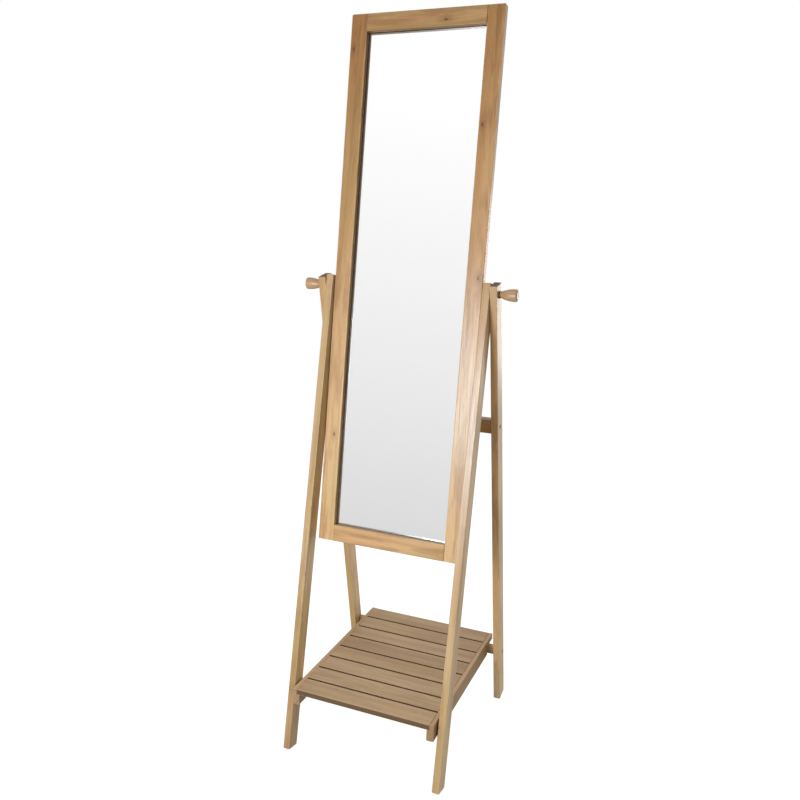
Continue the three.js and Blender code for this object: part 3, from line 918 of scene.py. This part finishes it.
def make_set():
    """A pale floor that fades at its rim into a white shell."""
    n = new_material("studio_white")
    glow = n.add("Emission", {"Color": (1, 1, 1, 1), "Strength": 1.0}).outputs[0]
    n.plug(glow, n.own("OUTPUT_MATERIAL").inputs["Surface"])
    shell = bmesh.new()
    bmesh.ops.create_icosphere(shell, subdivisions=4, radius=SHELL_RADIUS)
    set_dressing("shell", shell, n.owner)

    n = new_material("floor_paper")
    n.finish(base_color=FLOOR_GREY, roughness=0.9, specular_ior_level=0.0)
    place = n.add("TexCoord").outputs["Object"]
    radius = n.add("VectorMath", {0: place}, operation="LENGTH").outputs["Value"]
    fade = n.remap(radius, 0.35 * STAGE_RADIUS, 0.95 * STAGE_RADIUS)
    glow = n.add("Emission", {"Color": (1, 1, 1, 1), "Strength": FLOOR_GLOW}).outputs[0]
    lit = n.add("AddShader", {0: n.own("BSDF_PRINCIPLED").outputs[0], 1: glow}).outputs[0]
    clear = n.add("BsdfTransparent").outputs[0]
    blend = n.add("MixShader", {0: fade, 1: lit, 2: clear}).outputs[0]
    n.plug(blend, n.own("OUTPUT_MATERIAL").inputs["Surface"])
    floor = bmesh.new()
    bmesh.ops.create_circle(floor, cap_ends=True, segments=96, radius=STAGE_RADIUS)
    set_dressing("floor", floor, n.owner)


def make_world():
    """A pale room: brightest above the horizon and behind the object, calmer overhead, dim below it."""
    n = Nodes(bpy.data.worlds.new("studio"))
    bpy.context.scene.world = n.owner
    way = n.add("SeparateXYZ", {0: n.add("TexCoord").outputs["Generated"]})
    depth, height = way.outputs[1], way.outputs[2]
    level = WORLD_LEVELS[0][1]
    for (low, dim), (high, bright) in zip(WORLD_LEVELS, WORLD_LEVELS[1:]):
        level = n.math("ADD", level, n.remap(height, low, high, 0.0, bright - dim, smooth=False))
    level = n.math("MULTIPLY", level, n.remap(depth, -0.75, -0.25, 1.0, SIDE_SHARE))
    level = n.math("MULTIPLY", level, n.remap(depth, 0.25, 0.75, 1.0, 0.0))
    behind = n.remap(height, -0.6, -0.05, *BACK_LEVELS)
    level = n.math("ADD", level, n.math("MULTIPLY", behind, n.remap(depth, 0.25, 0.75)))
    background = n.own("BACKGROUND")
    n.plug(level, background.inputs["Strength"])
    n.plug((1, 1, 1, 1), background.inputs["Color"])


def area_light(name, place, target, size, power, receivers, colour=(1, 1, 1), sheen_only=False):
    """A softbox that lights only its receivers and that the camera doesn't see."""
    light = bpy.data.lights.new(name, "AREA")
    light.color = colour
    light.shape = "RECTANGLE"
    light.size, light.size_y = size
    light.energy = power
    lamp = bpy.data.objects.new(name, light)
    bpy.context.scene.collection.objects.link(lamp)
    lamp.location = place
    lamp.rotation_euler = (Vector(target) - Vector(place)).to_track_quat("-Z", "Y").to_euler()
    lamp.visible_camera = False
    lamp.visible_diffuse = not sheen_only
    lamp.light_linking.receiver_collection = receivers


def make_lights():
    """Softboxes before and behind the object. They miss the glass, which would show them as white patches.

    A cooler one below the front one adds sheen to the lacquer and nothing else.
    """
    pieces = bpy.data.collections.new("all_but_glass")
    for piece in bpy.context.scene.objects:
        if piece.type == "MESH" and not piece.name.startswith("mirror_glass"):
            pieces.objects.link(piece)
    area_light(
        "front_softbox",
        place=(-0.165, -1.31, 0.93),
        target=(0.1, 0, 0.8),
        size=(0.42, 0.42),
        power=12,
        receivers=pieces,
    )
    area_light(
        "front_sheen",
        place=(-0.165, -1.31, 0.86),
        target=(0.1, 0, 0.75),
        size=(0.42, 0.58),
        power=11,
        receivers=pieces,
        colour=(0.4, 0.62, 1.0),
        sheen_only=True,
    )
    area_light(
        "rear_right_softbox",
        place=(0.60, 1.45, 0.90),
        target=(0.2, 0, 0.8),
        size=(0.5, 0.7),
        power=4.5,
        receivers=pieces,
    )


def make_camera():
    """The camera looks along +Y, turned left by its yaw, down by its pitch and sideways by its roll."""
    forward = Vector((
        -math.sin(CAMERA_YAW) * math.cos(CAMERA_PITCH),
        math.cos(CAMERA_YAW) * math.cos(CAMERA_PITCH),
        -math.sin(CAMERA_PITCH),
    ))
    level = Vector((math.cos(CAMERA_YAW), math.sin(CAMERA_YAW), 0))
    up = level.cross(forward)
    right = math.cos(CAMERA_ROLL) * level + math.sin(CAMERA_ROLL) * up
    up = -math.sin(CAMERA_ROLL) * level + math.cos(CAMERA_ROLL) * up
    data = bpy.data.cameras.new("camera")
    data.sensor_width = 36
    data.lens = CAMERA_LENS
    camera = bpy.data.objects.new("camera", data)
    bpy.context.scene.collection.objects.link(camera)
    turn = Matrix((right, up, -forward)).transposed().to_4x4()
    camera.matrix_world = Matrix.Translation(CAMERA_PLACE) @ turn
    bpy.context.scene.camera = camera


make_camera()
make_world()
make_legs()
make_bars()
make_shelf()
make_mirror_frame()
make_glass()
make_hardware()
paint_cad_nodes()
make_lights()
make_set()
bpy.context.scene.view_settings.view_transform = "Standard"

bpy.context.view_layer.update()
